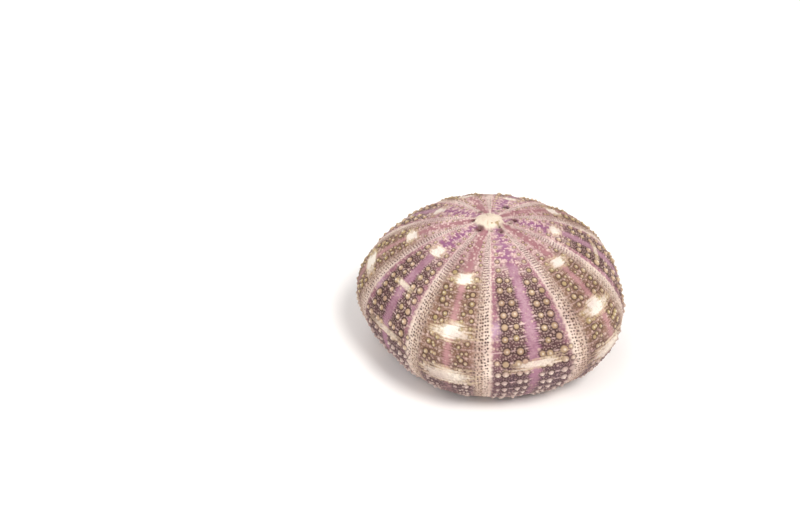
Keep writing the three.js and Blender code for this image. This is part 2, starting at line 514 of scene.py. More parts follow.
# ---- bosses ----
# Radii are in millimetres, at knots in ambitus radii. The rest is in boss radii.
BOSS_KNOTS = (0.15, 0.4, 0.62, 0.8, 1.3, 1.7, 2.2)
BOSS_RADII = (0.34, 0.52, 0.82, 0.97, 1.00, 0.90, 0.50)
BOSS_HEIGHT = 0.60
BOSS_SQUARENESS = 2.4
BOSS_EDGE = (0.80, 1.08)
TINT_REACH = 1.15
NIPPLE_SHARE = 0.44
NIPPLE_HEIGHT = 0.27
HALO_REACH = 2.1
HALO_RING = (1.18, 0.38)
HALO_START = 0.85
HALO_DEPTH = 0.16
HALO_DARKNESS = (0.6, 1.0)
# A worn boss has lost its nipple and has a hollow there, painted dark as shade.
WORN_BOSS_SHARE = 0.12
WORN_NIPPLE_HEIGHT = -0.5 * NIPPLE_HEIGHT
WORN_HOLLOW_SHADE = 0.75

# Degrees from the centre line, first and last arc in ambitus radii, size.
INTERAMBULACRAL_COLUMNS = (
    (11.9, 0.20, 2.12, 1.05),
    (6.3, 0.56, 2.05, 1.00),
    (3.5, 1.11, 1.70, 0.86),
    (15.4, 1.12, 1.75, 0.84),
)
AMBULACRAL_COLUMNS = (
    (8.6, 0.24, 2.10, 0.76),
    (4.9, 0.60, 2.00, 0.66),
    (6.8, 1.08, 1.80, 0.62),
)
# How far the bosses stray: degrees, millimetres and share of their size.
INTERAMBULACRAL_STRAY = (0.3, 0.14, 0.08)
AMBULACRAL_STRAY = (0.5, 0.28, 0.16)
# Plates by which every second column is out of step.
AMBULACRAL_STAGGER = 0.3


def add_boss(relief, azimuth, arc, size, rng):
    """A rounded boss with the ball that a spine sat on, in a sunken ring."""
    where, share = relief.near(azimuth, arc, size, HALO_REACH)
    shaded_halo = ring(share, *HALO_RING)
    relief.height[where] -= HALO_DEPTH * size * shaded_halo
    dome = BOSS_HEIGHT * size * np.sqrt(mound(share, BOSS_SQUARENESS))
    ball = np.sqrt(mound(share / NIPPLE_SHARE))
    worn = rng.random() < WORN_BOSS_SHARE
    nipple_height = WORN_NIPPLE_HEIGHT if worn else NIPPLE_HEIGHT
    relief.raise_to(where, dome + nipple_height * size * ball)
    # The dark ring is partly the boss's darker areole and partly painted shade in its sunken ring.
    relief.mark("shaded_halo", where, rng.uniform(*HALO_DARKNESS) * shaded_halo * (share > HALO_START))
    relief.mark("boss", where, falling(share, *BOSS_EDGE))
    relief.mark("tint", where, rng.uniform(0.0, 1.0) * (share < TINT_REACH))
    if worn:
        # Painted shade in the worn boss's hollow.
        relief.mark("shaded_halo", where, WORN_HOLLOW_SHADE * ball)
    else:
        # The ball's mark carries its own pale colour and a painted highlight on the boss's top.
        relief.mark("nipple_and_highlight", where, ball)


def boss_places(columns, centre_offset, plates_per_plate, stagger, stray, rng):
    """Where the bosses of one kind of zone stand: azimuth, arc and size."""
    stray_degrees, stray_arc, stray_size = stray
    places = []
    last_plate = plates_from_apex(LIP_ARC) * plates_per_plate
    first_plate = plates_from_apex(0.0) * plates_per_plate
    for centre in AMBULACRUM_ANGLES + math.radians(centre_offset):
        for side in (-1, 1):
            for column, (degrees, first, last, share) in enumerate(columns):
                part_plate = 0.5 * (side > 0) + stagger * (column % 2)
                for plate in np.arange(math.ceil(first_plate), last_plate):
                    arc = arc_of_plate((plate + part_plate) / plates_per_plate)
                    arc += rng.normal(0, stray_arc)
                    wobble = rng.normal(0, stray_degrees)
                    size = share * along_growth(arc, BOSS_KNOTS, BOSS_RADII) * rng.normal(1.0, stray_size)
                    if first <= arc / AMBITUS_RADIUS <= last:
                        azimuth = centre + side * math.radians(degrees + wobble)
                        places.append((azimuth, arc, size))
    return places


# ---- granules ----
GRANULE_GAP = 0.88
GRANULE_JITTER = 0.38
GRANULE_RADIUS = 0.27
GRANULE_HEIGHT = 0.18
GRANULE_REACH = 1.25
GRANULE_EDGE = (0.45, 1.15)
GRANULE_SIZES = (0.75, 1.15)
GRANULE_BRIGHTNESS = (0.2, 0.9)
LARGE_GRANULE_SHARE = 0.20
YOUNG_LARGE_SHARE = 0.45
LARGE_GRANULE_SIZE = 1.75
LARGE_GRANULE_BRIGHTENING = 0.3
GRANULE_FIRST_ARC = 0.17 * AMBITUS_RADIUS
GRANULE_LIP_GAP = 1.0
# The strongest marks that a granule may stand on.
GRANULE_LIMITS = {"boss": 0.05, "shaded_halo": 0.75, "apical": 0.3}
PORE_ZONE_LIMIT = 0.45
STRIPE_LIMITS = (0.25, 0.8)
YOUNG_TOLERANCE = 0.2
VIOLET_TOLERANCE = 0.08
STRAY_ON_STRIPE_SHARE = 0.1
AMONG_PORES_SHARE = 0.12
# The ring around a large boss.
RING_GRANULES = 11
RING_REACH = (1.5, 1.68)
RING_GRANULE_SIZES = (0.8, 1.1)
RING_BRIGHTNESS = 0.85
RING_PORE_ZONE_LIMIT = 0.4
RING_LIP_GAP = 0.5


def add_granule(relief, azimuth, arc, size, brightness):
    where, share = relief.near(azimuth, arc, size, GRANULE_REACH)
    relief.raise_to(where, GRANULE_HEIGHT * size / GRANULE_RADIUS * mound(share))
    relief.mark("granule", where, brightness * falling(share, *GRANULE_EDGE))


def has_room(relief, azimuth, arc, rng):
    """Which granules stand clear of bosses, pores, the cap and most of a bare stripe."""
    count = len(azimuth)
    room = np.ones(count, dtype=bool)
    for name, limit in GRANULE_LIMITS.items():
        room &= relief.sample(name, azimuth, arc) < limit
    among_pores = rng.random(count) < AMONG_PORES_SHARE
    room &= relief.sample("pore_zone", azimuth, arc) < PORE_ZONE_LIMIT + among_pores
    tolerance = rng.uniform(*STRIPE_LIMITS, count) + (rng.random(count) < STRAY_ON_STRIPE_SHARE)
    tolerance += YOUNG_TOLERANCE * relief.sample("upper", azimuth, arc)
    room &= relief.sample("stripe", azimuth, arc) < tolerance
    room &= relief.sample("violet", azimuth, arc) < tolerance + VIOLET_TOLERANCE
    return room


def scatter_granules(relief, rng):
    for row_arc in np.arange(GRANULE_FIRST_ARC, LIP_ARC - GRANULE_LIP_GAP, GRANULE_GAP):
        count = int(2 * math.pi * profile_at(row_arc)[0] / GRANULE_GAP)
        turns = (np.arange(count) + rng.uniform(-GRANULE_JITTER, GRANULE_JITTER, count)) / count
        azimuth = turns * 2 * math.pi - math.pi
        arc = row_arc + rng.uniform(-GRANULE_JITTER, GRANULE_JITTER, count) * GRANULE_GAP
        size = GRANULE_RADIUS * rng.uniform(*GRANULE_SIZES, count)
        large_share = LARGE_GRANULE_SHARE + YOUNG_LARGE_SHARE * relief.sample("upper", azimuth, arc)
        large = rng.random(count) < large_share
        size = np.where(large, size * LARGE_GRANULE_SIZE, size)
        brightness = rng.uniform(*GRANULE_BRIGHTNESS, count) + LARGE_GRANULE_BRIGHTENING * large
        for index in np.flatnonzero(has_room(relief, azimuth, arc, rng)):
            add_granule(relief, azimuth[index], arc[index], size[index], brightness[index])


def ring_with_granules(relief, places, rng):
    """The ring of granules that stands around each large boss."""
    for azimuth, arc, size in places:
        around = profile_at(arc)[0]
        start = rng.uniform(0, 2 * math.pi)
        for turn in start + np.arange(RING_GRANULES) / RING_GRANULES * 2 * math.pi:
            distance = size * rng.uniform(*RING_REACH)
            ring_azimuth = azimuth + distance * math.cos(turn) / around
            ring_arc = arc + distance * math.sin(turn)
            clear = relief.sample("pore_zone", ring_azimuth, ring_arc) < RING_PORE_ZONE_LIMIT
            if clear and ring_arc < LIP_ARC - RING_LIP_GAP:
                granule = GRANULE_RADIUS * rng.uniform(*RING_GRANULE_SIZES)
                add_granule(relief, ring_azimuth, ring_arc, granule, RING_BRIGHTNESS)


# ---- pores ----
PORE_ROWS_PER_PLATE = 3.7
PORE_RADIUS = 0.30
PORE_DEPTH = 0.45
PORE_REACH = 1.8
PORE_EDGE = (0.65, 1.3)
PORE_SIZES = (0.8, 1.15)
PORE_DARKNESS = (0.6, 1.0)
# A young pore's size, and what it gains in each ambitus radius of growth.
YOUNG_PORE_SIZE = 0.45
PORE_GAIN = 0.6
# Degrees from the ambulacrum's centre line, and how dark the pores' painted shade is.
PORE_COLUMNS = ((12.7, 0.75), (14.0, 0.85), (15.3, 0.90), (16.6, 1.0), (17.7, 1.0))
PORE_ROW_SLANT = 0.22
PORE_STRAY_DEGREES = 0.2
PORE_STRAY_ARC = 0.12
PORE_FIRST_ARC = 0.19 * AMBITUS_RADIUS
PORE_LIP_GAP = 1.5


def add_pore(relief, azimuth, arc, size, darkness):
    where, share = relief.near(azimuth, arc, size, PORE_REACH)
    relief.height[where] -= PORE_DEPTH * size / PORE_RADIUS * mound(share)
    # The dark spot is painted shade for the pore's hole.
    relief.mark("pore", where, darkness * falling(share, *PORE_EDGE))


def pierce_pore_zones(relief, rng):
    """Slanting rows of pores down both sides of each ambulacrum."""
    first = math.ceil(plates_from_apex(PORE_FIRST_ARC) * PORE_ROWS_PER_PLATE)
    last = plates_from_apex(LIP_ARC - PORE_LIP_GAP) * PORE_ROWS_PER_PLATE
    for centre in AMBULACRUM_ANGLES:
        for side in (-1, 1):
            for row in np.arange(first, last):
                row_arc = arc_of_plate(row / PORE_ROWS_PER_PLATE)
                for number, (degrees, darkness) in enumerate(PORE_COLUMNS):
                    arc = row_arc - PORE_ROW_SLANT * number + rng.normal(0, PORE_STRAY_ARC)
                    azimuth = centre + side * math.radians(degrees + rng.normal(0, PORE_STRAY_DEGREES))
                    growth = min(1.0, YOUNG_PORE_SIZE + PORE_GAIN * arc / AMBITUS_RADIUS)
                    size = PORE_RADIUS * growth * rng.uniform(*PORE_SIZES)
                    add_pore(relief, azimuth, arc, size, darkness * growth * rng.uniform(*PORE_DARKNESS))


COMB_DEPTH = 0.24
COMB_FADE_ARCS = radii(0.5, 0.85)
COMB_FADE = (0.3, 1.0)
COMB_YOUNG_ARCS = radii(0.2, 0.45)
COMB_YOUNG = (0.6, 1.0)
COMB_GAP_SHARPNESS = 1.6
COMB_VIOLET_DEGREES = (13.5, 18.0)
COMB_VIOLET = 0.75


def comb_upper_pore_zones(relief):
    """Near the apex each pore row lies in a groove, and the zone looks combed."""
    arc = relief.down
    ridge = 0.5 + 0.5 * np.cos(2 * math.pi * plates_from_apex(arc) * PORE_ROWS_PER_PLATE)
    fade = falling(arc, *COMB_FADE_ARCS)
    strength = blend(fade, *COMB_FADE)
    zone = relief.marks["pore_zone"]
    relief.height += zone * COMB_DEPTH * (ridge - 0.5) * strength
    gap = zone * (1 - ridge) ** COMB_GAP_SHARPNESS
    gap = gap * blend(smoothstep(arc, *COMB_YOUNG_ARCS), *COMB_YOUNG)
    outer_side = smoothstep(relief.from_ambulacrum, *COMB_VIOLET_DEGREES)
    relief.mark("violet", slice(None), COMB_VIOLET * gap * outer_side * fade)
    # The inner grooves get rose-brown, partly painted shade in the grooves.
    relief.marks["comb_gap_tint_and_shade"] += gap * (1 - outer_side) * strength


# ---- pale growth bands ----
# Middle and half height in ambitus radii, half width in degrees, strength.
INTERAMBULACRAL_BANDS = (
    (0.480, 0.048, 6.6, 1.0),
    (0.480, 0.030, 10.5, 0.65),
    (0.840, 0.026, 7.5, 0.78),
    (1.220, 0.030, 12.0, 0.78),
)
AMBULACRAL_BANDS = (
    (0.595, 0.046, 6.0, 1.0),
    (0.600, 0.036, 10.0, 0.72),
    (0.980, 0.060, 5.2, 1.0),
    (0.990, 0.046, 10.8, 0.80),
    (1.315, 0.072, 11.2, 0.88),
)
BAND_SLANT = 0.04
BAND_SHIFT_DEGREES = 0.6
BAND_SQUARENESS = 3.4
BAND_EDGE = (0.5, 1.6)
BAND_FRAY = 1.1
# The front zone has only the lowest one, climbing to the right.
FRONT_INTERAMBULACRUM = 0
FRONT_BAND = (1.215, 0.036, 10.5, 0.85)


def paint_band(relief, centre, band, slant, shift, rng):
    """One pale band with square ends and frayed edges."""
    middle, half_height, half_width, strength = band
    turns = np.angle(np.exp(1j * (relief.azimuth - centre)))
    degrees = np.degrees(turns)[None, :] - shift
    arc = relief.down + slant * degrees
    fray = relief.ragged(rng, period=3.1, depth=0.22) + relief.ragged(rng, period=1.1, depth=0.15)
    across = np.abs(degrees / half_width) ** BAND_SQUARENESS
    along = np.abs((arc - middle * AMBITUS_RADIUS) / (half_height * AMBITUS_RADIUS)) ** BAND_SQUARENESS
    reach = (across + along) ** (1 / BAND_SQUARENESS)
    relief.mark("growth_band", slice(None), strength * falling(reach + BAND_FRAY * fray, *BAND_EDGE))


def paint_straying_bands(relief, centre, bands, rng):
    for band in bands:
        slant = rng.normal(0, BAND_SLANT)
        paint_band(relief, centre, band, slant, rng.normal(0, BAND_SHIFT_DEGREES), rng)


def paint_growth_bands(relief, rng):
    for sector, centre in enumerate(AMBULACRUM_ANGLES + math.radians(AMBULACRAL_SKEW)):
        paint_straying_bands(relief, centre, AMBULACRAL_BANDS, rng)
        middle = centre + SECTOR_ANGLE / 2
        if sector == FRONT_INTERAMBULACRUM:
            paint_band(relief, middle, FRONT_BAND, slant=0.085, shift=0.2, rng=rng)
        else:
            paint_straying_bands(relief, middle, INTERAMBULACRAL_BANDS, rng)


# ---- the apical disc ----
CAP_CENTRE = (-0.5, -0.9)
CAP_RADIUS = 4.3
CAP_EDGE = (CAP_RADIUS - 0.3, CAP_RADIUS + 0.8)
CAP_FOOT_RADIUS = CAP_RADIUS + 0.4
CAP_RISE = 1.5
CAP_ROUNDNESS = 0.6
CAP_PLATES = 7
CAP_FURROW_WIDTH = 0.45
CAP_FURROW_DEPTH = 0.4
CAP_FURROW_START = (0.8, 2.0)
CAP_FURROW_BEND = 0.25
CAP_FURROW_STRENGTH = 0.6
# Degrees, arc, radius, and how dark the pigment in the plate is.
APICAL_PLATES = (
    (-127, 6.6, 1.7, 0.95),
    (-92, 6.3, 0.9, 0.25),
    (-66, 7.4, 1.3, 0.85),
    (-57, 5.2, 1.5, 0.15),
    (-18, 6.6, 1.2, 0.45),
    (-4, 7.8, 1.3, 0.95),
    (62, 6.2, 1.2, 0.20),
    (118, 5.8, 1.1, 0.70),
    (180, 5.6, 1.1, 0.85),
)
PLATE_REACH = 2.0
PLATE_RIM_HEIGHT = 0.45
PLATE_RIM_RING = (0.8, 0.35)
PLATE_HOLLOW_DEPTH = 0.2
PLATE_HOLLOW_EDGE = (0.2, 0.7)
STAIN_RADIUS = 0.95
PALE_RADIUS = 0.9
GENITAL_PORE_STRAY = 0.2
# Small bosses on the cap: degrees, arc and radius.
CAP_BOSSES = ((-86, 3.6, 0.36), (-63, 4.0, 0.66), (-46, 3.6, 0.34))
CAP_BOSS_REACH = 1.3
CAP_BOSS_EDGE = (0.7, 1.2)
# The dimple behind the apex, painted dark as shade: azimuth, arc, radius and darkness.
PUNCTURE = (math.radians(58), 11.2, 1.3, 1.0)


def build_apical_disc(relief, rng):
    """The cream cap of plates at the apex, and the ring of plates around it."""
    across = relief.down * np.cos(relief.azimuth)[None, :] - CAP_CENTRE[0]
    along = relief.down * np.sin(relief.azimuth)[None, :] - CAP_CENTRE[1]
    wander = relief.ragged(rng, period=5.0, depth=0.35)
    distance = np.hypot(across, along) + wander
    relief.marks["apical"] += falling(distance, *CAP_EDGE)
    crown = mound(distance / CAP_FOOT_RADIUS, 3) ** CAP_ROUNDNESS
    turn = CAP_PLATES * (np.arctan2(along, across) + CAP_FURROW_BEND * wander) / 2
    furrow = ring(np.abs(np.sin(turn)) * distance, 0.0, CAP_FURROW_WIDTH)
    furrow = furrow * smoothstep(distance, *CAP_FURROW_START)
    relief.height += crown * (CAP_RISE - CAP_FURROW_DEPTH * furrow)
    relief.mark("suture", slice(None), CAP_FURROW_STRENGTH * furrow * (crown > 0))
    for degrees, arc, size, darkness in APICAL_PLATES:
        add_apical_plate(relief, math.radians(degrees), arc, size, darkness, rng)
    for degrees, arc, size in CAP_BOSSES:
        add_cap_boss(relief, math.radians(degrees), arc, size)


def add_cap_boss(relief, azimuth, arc, size):
    """A plain low boss that stands on the cap's own height."""
    where, share = relief.near(azimuth, arc, size, CAP_BOSS_REACH)
    relief.height[where] += BOSS_HEIGHT * size * np.sqrt(mound(share))
    relief.mark("boss", where, falling(share, *CAP_BOSS_EDGE))
    relief.mark("tint", where, share < CAP_BOSS_REACH)


def add_apical_plate(relief, azimuth, arc, size, darkness, rng):
    """A plate with a raised rim around its pore."""
    where, share = relief.near(azimuth, arc, size, PLATE_REACH)
    relief.height[where] += PLATE_RIM_HEIGHT * ring(share, *PLATE_RIM_RING)
    relief.height[where] -= PLATE_HOLLOW_DEPTH * falling(share, *PLATE_HOLLOW_EDGE)
    relief.mark("stain", where, darkness * np.exp(-(share / STAIN_RADIUS) ** 4))
    relief.mark("apical", where, (1 - darkness) * np.exp(-(share / PALE_RADIUS) ** 4))
    pore_arc = arc + GENITAL_PORE_STRAY * rng.uniform(-1, 1)
    # Its pore is painted dark as shade too.
    add_pore(relief, azimuth, pore_arc, size=0.42, darkness=0.8)


def make_relief(arc, azimuth):
    """Everything on the outside. The order matters: later parts look at earlier marks."""
    rng = np.random.default_rng(RANDOM_SEED)
    relief = Relief(arc, azimuth)
    paint_zones(relief, rng)
    paint_stripes(relief, rng)
    paint_flush(relief, rng)
    build_apical_disc(relief, rng)
    carve_seams(relief)
    middle = HALF_SECTOR + INTERAMBULACRAL_SKEW
    between = boss_places(INTERAMBULACRAL_COLUMNS, middle, 1.0, 0.0, INTERAMBULACRAL_STRAY, rng)
    along = boss_places(
        AMBULACRAL_COLUMNS, AMBULACRAL_SKEW / 2, AMBULACRAL_PLATES_PER_PLATE,
        AMBULACRAL_STAGGER, AMBULACRAL_STRAY, rng,
    )
    for place in between + along:
        add_boss(relief, *place, rng)
    scatter_granules(relief, rng)
    ring_with_granules(relief, between, rng)
    comb_upper_pore_zones(relief)
    pierce_pore_zones(relief, rng)
    paint_growth_bands(relief, rng)
    add_pore(relief, *PUNCTURE)
    return relief


# ==== the mesh ====
FLOOR_CLEARANCE = 1.6
LIP_CLEARANCE = 1.0
OUTER_MAP_RADIUS = 0.435
INNER_MAP_RADIUS = 0.138
MAP_MARGIN = 0.006


def displaced_points(points, relief, outer_rows):
    """The wall's points with the relief standing on the outside."""
    normals = outward_normals(points)
    off_floor = smoothstep(points[:outer_rows, :, 2], 0.0, FLOOR_CLEARANCE)
    off_lip = smoothstep(LIP_ARC - relief.down, 0.0, LIP_CLEARANCE)
    lift = np.zeros(points.shape[:2])
    lift[:outer_rows] = relief.height * off_floor * off_lip
    moved = points + normals * lift[..., None]
    moved[..., 2] = np.maximum(moved[..., 2], 0.0)
    return moved


def grid_faces(rows, columns):
    """Quads around and down the grid, and the triangles that close both poles."""
    row = np.arange(rows - 1)[:, None]
    column = np.arange(columns)[None, :]
    after = (column + 1) % columns
    quads = np.stack(
        [row * columns + column, (row + 1) * columns + column,
         (row + 1) * columns + after, row * columns + after], axis=-1
    ).reshape(-1, 4)
    first_pole = rows * columns
    last_pole = first_pole + 1
    ring = np.arange(columns)
    following = (ring + 1) % columns
    last_row = (rows - 1) * columns
    top = np.stack([np.full(columns, first_pole), ring, following], axis=-1)
    bottom = np.stack([np.full(columns, last_pole), last_row + following, last_row + ring], axis=-1)
    return quads, top, bottom


def disc_map(azimuth, distance, full_distance, radius, corner):
    """Lays a surface out flat, as a disc in the unit square's low (0) or high (1) corner."""
    reach = radius * distance / full_distance
    middle = abs(corner - (MAP_MARGIN + radius))
    return middle + reach * np.cos(azimuth), middle + reach * np.sin(azimuth)


def map_coordinates(row_distance, azimuth, seam_row, columns):
    """Map coordinates for every face corner, in the order of grid_faces."""
    rows = len(row_distance)
    full_outer = row_distance[seam_row]
    full_inner = row_distance[-1] + POLE_GAP - full_outer
    start = np.arange(columns)
    after = (start + 1) % columns
    angle = azimuth[np.stack([start, start, after, after], axis=-1)]
    corners = []
    for row in range(rows - 1):
        distance = row_distance[[row, row + 1, row + 1, row]]
        if row < seam_row:
            u, v = disc_map(angle, distance, full_outer, OUTER_MAP_RADIUS, 0)
        else:
            inner = full_inner - (distance - full_outer)
            u, v = disc_map(-angle, inner, full_inner, INNER_MAP_RADIUS, 1)
        corners.append(np.stack([u, v], axis=-1).reshape(-1, 2))
    from_pole = np.array([0, POLE_GAP, POLE_GAP])
    top = disc_map(angle[:, [0, 0, 2]], from_pole, full_outer, OUTER_MAP_RADIUS, 0)
    bottom = disc_map(-angle[:, [0, 2, 0]], from_pole, full_inner, INNER_MAP_RADIUS, 1)
    corners.append(np.stack(top, axis=-1).reshape(-1, 2))
    corners.append(np.stack(bottom, axis=-1).reshape(-1, 2))
    return np.concatenate(corners)


def mesh_from_arrays(name, points, quads, triangles):
    mesh = bpy.data.meshes.new(name)
    mesh.vertices.add(len(points))
    mesh.vertices.foreach_set("co", np.ascontiguousarray(points, dtype=np.float32).ravel())
    corners = np.concatenate([quads.ravel(), triangles.ravel()])
    mesh.loops.add(len(corners))
    mesh.loops.foreach_set("vertex_index", corners.astype(np.int32))
    starts = np.concatenate([
        np.arange(len(quads)) * 4, len(quads) * 4 + np.arange(len(triangles)) * 3
    ])
    mesh.polygons.add(len(starts))
    mesh.polygons.foreach_set("loop_start", starts.astype(np.int32))
    mesh.update(calc_edges=True)
    mesh.polygons.foreach_set("use_smooth", np.ones(len(starts), dtype=bool))
    return mesh


def place_in_frame(points):
    """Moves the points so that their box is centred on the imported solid's box."""
    low, high = (np.array(corner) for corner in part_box(NODE))
    middle = (low + high) / 2 / MILLIMETRE
    own_middle = (points.min(axis=(0, 1)) + points.max(axis=(0, 1))) / 2
    return points + np.array([middle[0] - own_middle[0], middle[1] - own_middle[1], 0.0])


def mark_on_wall(relief, name, arc, outer_rows):
    """A mark on every row: the outside's own, and what the lip and the inside take."""
    values = np.zeros((len(arc), len(relief.azimuth)))
    values[:outer_rows] = relief.marks[name]
    first_inner = outer_rows + LIP_ROWS
    if name == "oral":
        values[outer_rows:first_inner] = 1.0
    if name == "inside":
        values[outer_rows:first_inner] = np.linspace(0, 1, LIP_ROWS)[:, None]
        values[first_inner:] = 1.0
    if name == "pore_zone":
        opposite = np.searchsorted(relief.arc, arc[first_inner:]).clip(0, outer_rows - 1)
        values[first_inner:] = relief.marks[name][opposite]
    return values


def add_object(name, data):
    thing = bpy.data.objects.new(name, data)
    bpy.context.collection.objects.link(thing)
    return thing


def build_test():
    radius, height, arc, outer_rows = wall_rows()
    azimuth = column_azimuths()
    rows, columns = len(radius), len(azimuth)
    wall = place_in_frame(grown(radius[:, None], height[:, None], azimuth[None, :]))
    relief = make_relief(arc[:outer_rows], azimuth)
    points = displaced_points(wall, relief, outer_rows)
    poles = np.stack([points[0].mean(axis=0), points[-1].mean(axis=0)])
    vertices = np.concatenate([points.reshape(-1, 3), poles]) * MILLIMETRE

    quads, top, bottom = grid_faces(rows, columns)
    mesh = mesh_from_arrays("urchin_test", vertices, quads, np.concatenate([top, bottom]))

    steps = np.hypot(np.diff(radius), np.diff(height))
    row_distance = POLE_GAP + np.concatenate([[0.0], np.cumsum(steps)])
    corners = map_coordinates(row_distance, azimuth, outer_rows + LIP_ROWS, columns)
    layer = mesh.uv_layers.new(name="OFBake")
    layer.data.foreach_set("uv", corners.astype(np.float32).ravel())

    for name in MARKS:
        values = mark_on_wall(relief, name, arc, outer_rows)
        ends = (values[0].mean(), values[-1].mean())
        attribute = mesh.attributes.new(name, "FLOAT", "POINT")
        attribute.data.foreach_set("value", np.concatenate([values.ravel(), ends]).astype(np.float32))

    return add_object("urchin_test", mesh)


# ==== materials ====
def linear(red, green, blue):
    """A colour given as screen values from 0 to 255, as linear light."""
    shares = [value / 255 for value in (red, green, blue)]
    return (*(s / 12.92 if s <= 0.04045 else ((s + 0.055) / 1.055) ** 2.4 for s in shares), 1.0)


class Shader:
    """Makes a material's nodes, one short call for each."""

    def __init__(self, name):
        self.material = bpy.data.materials.new(name)
        self.material.use_nodes = True
        self.nodes = self.material.node_tree.nodes
        self.links = self.material.node_tree.links
        self.surface = self.nodes["Principled BSDF"]

    def connect(self, source, socket):
        if isinstance(source, bpy.types.NodeSocket):
            self.links.new(source, socket)
        else:
            socket.default_value = source

    def node(self, kind, inputs, **settings):
        """Makes a node, sets it up and connects its inputs. Gives its outputs."""
        node = self.nodes.new("ShaderNode" + kind)
        for name, value in settings.items():
            setattr(node, name, value)
        for name, source in inputs.items():
            self.connect(source, node.inputs[name])
        return node.outputs

    def attribute(self, name):
        return self.node("Attribute", {}, attribute_name=name)["Fac"]

    def noise(self, per_metre, detail=3.0, roughness=0.55):
        place = self.node("TexCoord", {})["Object"]
        inputs = {"Vector": place, "Scale": per_metre, "Detail": detail, "Roughness": roughness}
        return self.node("TexNoise", inputs)["Fac"]

    def maths(self, operation, first, second, clamp=False):
        return self.node("Math", {0: first, 1: second}, operation=operation, use_clamp=clamp)[0]

    def times(self, first, second, clamp=False):
        return self.maths("MULTIPLY", first, second, clamp)

    def plus(self, first, second, clamp=False):
        return self.maths("ADD", first, second, clamp)

    def minus(self, first, second):
        return self.maths("SUBTRACT", first, second)

    def mix(self, factor, low, high, blend_type="MIX"):
        inputs = {"Factor": factor, "A": low, "B": high}
        return self.node("Mix", inputs, data_type="RGBA", blend_type=blend_type)["Result"]

    def lay(self, pigment, over, mark, strength):
        """Lays a pigment over a colour through a mark."""
        return self.mix(self.times(mark, strength), over, pigment)

    def spread(self, value, low, high):
        """Maps 0..1 to low..high."""
        return self.plus(self.times(value, high - low), low)

    def ramp(self, value, start, end):
        """Maps start..end to 0..1, and clips the rest."""
        inputs = {"Value": value, "From Min": start, "From Max": end}
        return self.node("MapRange", inputs, interpolation_type="SMOOTHSTEP")["Result"]

    def bump(self, height, distance, strength):
        inputs = {"Height": height, "Distance": distance, "Strength": strength}
        return self.node("Bump", inputs)["Normal"]


DUSKY_BROWN = linear(76, 48, 44)
DUSKY_PLUM = linear(108, 72, 76)
KHAKI = linear(114, 86, 62)
KHAKI_PINK = linear(156, 120, 102)
YOUNG_CREAM = linear(238, 208, 202)
ROSE = linear(158, 104, 116)
ROSE_BROWN = linear(172, 120, 124)
GREY_LAVENDER = linear(92, 68, 78)
PORE_CREAM = linear(218, 196, 176)
YOUNG_PORE_CREAM = linear(250, 232, 222)
PORE_SPECKLE = linear(150, 112, 94)
EDGE_CREAM = linear(240, 222, 206)
MAUVE = linear(198, 160, 170)
DEEP_MAUVE = linear(160, 116, 134)
PINK = linear(196, 148, 148)
MAGENTA = linear(172, 116, 146)
VIOLET = linear(156, 98, 140)
ROSE_FLUSH = linear(180, 126, 142)
LILAC = linear(200, 168, 190)
CHALK = linear(250, 242, 228)
YELLOWED = linear(222, 200, 162)
IVORY = linear(240, 227, 205)
SEAM_PINK = linear(238, 210, 206)
GRANULE_PINK = linear(216, 188, 174)
GRANULE_CREAM = linear(234, 206, 198)
GRANULE_DULL = linear(184, 154, 150)
# Dark brown around the bosses: partly their areole, partly painted shade.
HALO_SHADE_BROWN = linear(68, 42, 36)
# Rose-brown for the comb's grooves, partly painted shade.
COMB_BROWN_SHADE = linear(116, 66, 68)
BOSS_OLIVE = linear(180, 158, 108)
BOSS_TAN = linear(202, 172, 142)
BOSS_PALE = linear(202, 180, 174)
# Near-white of the ball on each boss: its own pale colour and a painted highlight.
NIPPLE_CREAM_AND_HIGHLIGHT = linear(250, 240, 218)
# Near-black for the pores' holes: painted shade.
PORE_SHADE = linear(62, 34, 36)
STAIN_PLUM = linear(108, 62, 64)
ORAL_CREAM = linear(232, 218, 200)
INNER_PEACH = linear(228, 164, 118)
INNER_ORANGE = linear(206, 128, 84)
WEAR_SHADE = linear(224, 214, 216)
DUST_SHADE = linear(232, 226, 224)
WHITE = linear(255, 255, 255)
FLOOR_PALE = linear(252, 247, 244)
FLOOR_PALER = linear(255, 251, 248)

STRIPE_EDGE_STRENGTH = 2.0
PINK_EDGE_LOSS = 1.6
AMBULACRAL_OLIVE = 0.45
TINT_OLIVE = 0.7
BOSS_COVER = 0.95
CORE_COVER_LOSS = 0.85
BOSS_POLISH = 0.22
BUMP_MOTTLE = 0.8
SHELL_IOR = 1.45


